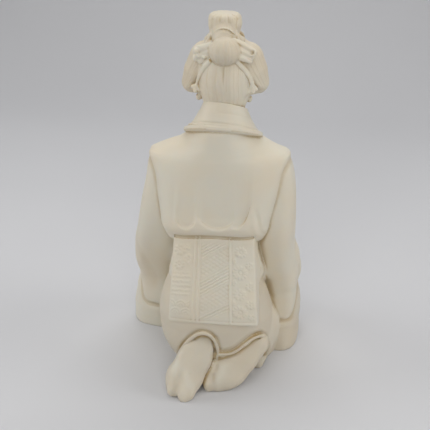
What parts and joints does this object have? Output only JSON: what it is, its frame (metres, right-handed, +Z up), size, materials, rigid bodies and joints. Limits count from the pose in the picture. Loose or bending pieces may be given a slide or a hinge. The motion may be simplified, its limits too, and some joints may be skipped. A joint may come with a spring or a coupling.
{
  "type": "kneeling figurine",
  "caption": "Carved-look alabaster figurine of a woman in kimono kneeling on her heels, solid, flat underneath, standing by its own weight.",
  "frame": {"origin": "on the flat underside, at the bottom centre of the bounding box", "axes": "+Z up from the floor to the topknot; -Y is where she faces and +Y her back and feet; +X is her own left hand"},
  "size_m": [0.1212, 0.139, 0.24],
  "materials": {
    "alabaster": "matte, softly rubbed"
  },
  "bodies": {
    "root": {"figurine": "alabaster"}
  },
  "joints": []
}
